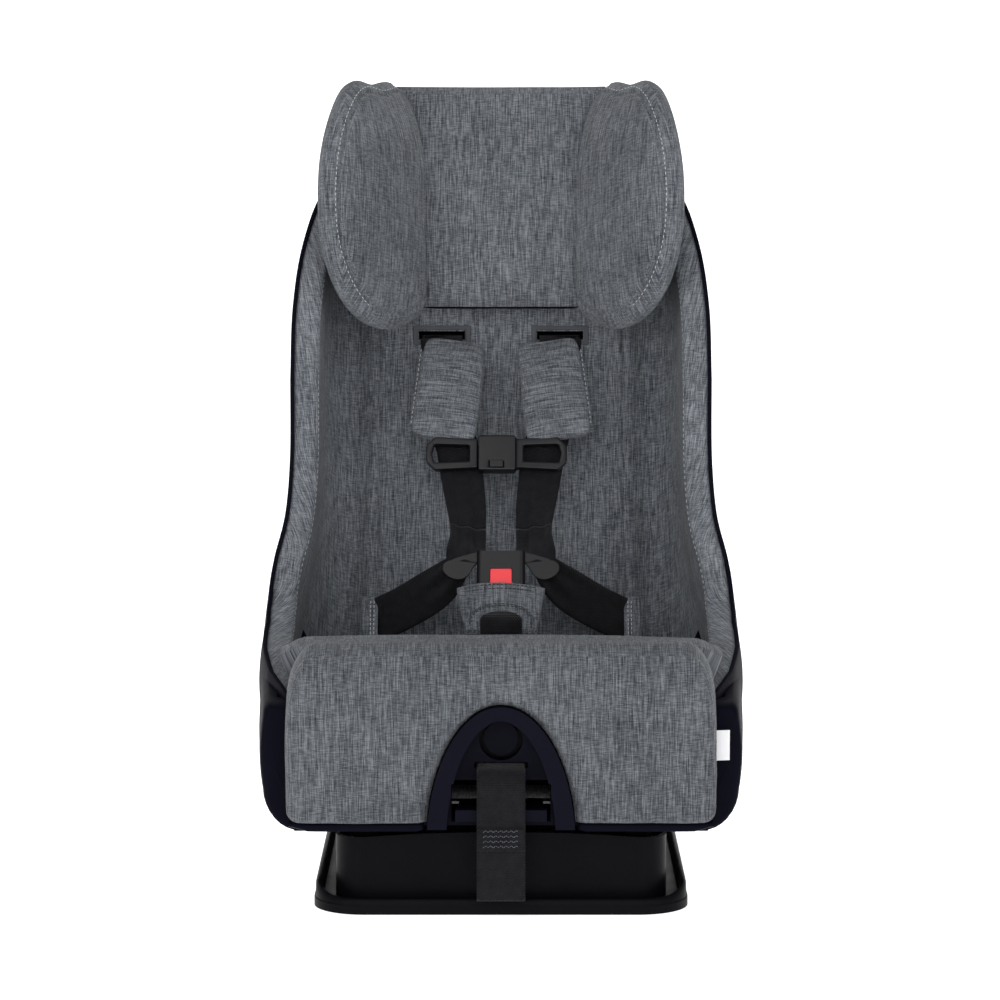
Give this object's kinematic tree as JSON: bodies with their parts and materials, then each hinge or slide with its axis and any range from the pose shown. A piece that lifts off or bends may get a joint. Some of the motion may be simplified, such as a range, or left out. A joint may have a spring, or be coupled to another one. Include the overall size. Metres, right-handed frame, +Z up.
{
  "type": "convertible car seat",
  "caption": "Child car seat with a padded bucket shell, winged sliding headrest and belt harness, reclining on a curved-track base.",
  "frame": {"origin": "middle of the underside of the base tray, on the surface that the seat stands on", "axes": "+Z up, -Y the way the child faces, +X to the right when the seat is seen from the front"},
  "size_m": [0.4188, 0.4404, 0.6803],
  "materials": {
    "shell_plastic": "fine moulded texture, satin, near black with a navy tint",
    "trim_plastic": "fine texture, slightly glossier than the shell",
    "base_plastic": "coarse moulded texture, matt black",
    "hardware_plastic": "smooth, semi-gloss black",
    "button_red": "satin red",
    "fabric": "heathered slate-grey woven cloth over foam",
    "webbing": "tight black polyester weave",
    "steel": "plain zinc-plated steel",
    "black_steel": "black e-coat",
    "rubber": "matt"
  },
  "bodies": {
    "base": {"base_tray": "base_plastic", "grip_pads": "rubber", "base_ribs": "base_plastic", "track_screws": "steel", "base_track_right": "black_steel", "base_track_left": "black_steel"},
    "shell": {"shell": "shell_plastic", "seat_pan": "black_steel", "rail_screws": "steel", "rocker_rail_right": "black_steel", "rocker_rail_left": "black_steel", "bolster_right": "fabric", "bolster_left": "fabric", "arch_trim": "trim_plastic", "front_panel": "shell_plastic", "adjuster_housing": "black_steel", "seat_cushion": "fabric", "back_pad": "fabric", "slot_bezels": "hardware_plastic", "post_guide": "hardware_plastic", "hip_anchor_left": "steel", "hip_anchor_right": "steel", "crotch_anchor": "steel", "splitter_plate": "steel", "shoulder_strap_left": "webbing", "shoulder_strap_right": "webbing", "lap_strap_left": "webbing", "lap_strap_right": "webbing", "shoulder_pad_left": "fabric", "shoulder_pad_right": "fabric", "crotch_strap": "webbing", "adjuster_strap_inner": "webbing", "adjuster_strap_tail": "webbing", "buckle_case": "hardware_plastic", "buckle_spring": "steel", "buckle_latch": "steel", "crotch_pad": "fabric", "tether_anchor": "black_steel", "tether_strap": "webbing", "tether_adjuster": "black_steel", "tether_hook": "black_steel"},
    "headrest": {"headrest_shell": "shell_plastic", "head_pad": "fabric", "head_wing_right": "fabric", "head_wing_left": "fabric", "headrest_frame": "black_steel", "lever_pin": "steel"},
    "headrest_lever": {"headrest_lever": "hardware_plastic"},
    "recline_handle": {"recline_handle": "trim_plastic"},
    "recline_lock": {"recline_lock_bar": "steel"},
    "harness_button": {"harness_button": "hardware_plastic"},
    "adjuster_cam": {"adjuster_cam": "steel"},
    "buckle_button": {"buckle_button": "button_red"},
    "tongue_left": {"tongue_left": "hardware_plastic"},
    "tongue_right": {"tongue_right": "hardware_plastic"},
    "clip_left": {"clip_left": "hardware_plastic"},
    "clip_right": {"clip_right": "hardware_plastic"},
    "clip_button": {"clip_button": "hardware_plastic"}
  },
  "joints": [
    {"name": "recline", "type": "hinge", "parent": "base", "child": "shell", "pos_m": [0, 0, 0.62], "axis": [-1, 0, 0], "range_deg": [0, 10]},
    {"name": "headrest_height", "type": "slide", "parent": "shell", "child": "headrest", "axis": [0, 0.1676, 0.9858], "range_m": [0, 0.1]},
    {"name": "headrest_release", "type": "hinge", "parent": "headrest", "child": "headrest_lever", "pos_m": [0, 0.16875, 0.64821], "axis": [1, 0, 0], "range_deg": [0, 12], "stiffness_Nm_per_rad": 0.4, "springref_deg": -5.73},
    {"name": "recline_release", "type": "slide", "parent": "shell", "child": "recline_handle", "axis": [0, -1, 0], "range_m": [0, 0.015], "stiffness_N_per_m": 1200, "springref_m": -0.005, "deforming": ["adjuster_strap_tail"]},
    {"name": "recline_lock", "type": "slide", "parent": "shell", "child": "recline_lock", "axis": [0, 0, 1], "range_m": [0, 0.005]},
    {"name": "harness_release", "type": "slide", "parent": "shell", "child": "harness_button", "axis": [0, 1, 0], "range_m": [0, 0.006], "stiffness_N_per_m": 900, "springref_m": -0.003},
    {"name": "cam_turn", "type": "hinge", "parent": "shell", "child": "adjuster_cam", "pos_m": [0, -0.175, 0.131], "axis": [1, 0, 0], "range_deg": [0, 12]},
    {"name": "buckle_release", "type": "slide", "parent": "shell", "child": "buckle_button", "axis": [0, 0.9397, -0.342], "range_m": [0, 0.003], "stiffness_N_per_m": 1500, "springref_m": -0.002, "deforming": ["buckle_spring"]},
    {"name": "tongue_left_out", "type": "slide", "parent": "shell", "child": "tongue_left", "axis": [0, 0.342, 0.9397], "range_m": [0, 0.03], "deforming": ["shoulder_strap_left", "lap_strap_left"]},
    {"name": "tongue_right_out", "type": "slide", "parent": "shell", "child": "tongue_right", "axis": [0, 0.342, 0.9397], "range_m": [0, 0.03], "deforming": ["shoulder_strap_right", "lap_strap_right"]},
    {"name": "clip_left_out", "type": "slide", "parent": "shell", "child": "clip_left", "axis": [-1, 0, 0], "range_m": [0, 0.02], "deforming": ["shoulder_strap_left"]},
    {"name": "clip_right_out", "type": "slide", "parent": "shell", "child": "clip_right", "axis": [1, 0, 0], "range_m": [0, 0.02], "deforming": ["shoulder_strap_right"]},
    {"name": "clip_release", "type": "slide", "parent": "clip_right", "child": "clip_button", "axis": [0, 0.9063, -0.4226], "range_m": [0, 0.0018], "stiffness_N_per_m": 1500, "springref_m": -0.002}
  ],
  "couplings": [
    {"joint": "recline_lock", "follows": "recline_release", "ratio": 0.333},
    {"joint": "cam_turn", "follows": "harness_release", "rad_per_m": 34.872}
  ]
}
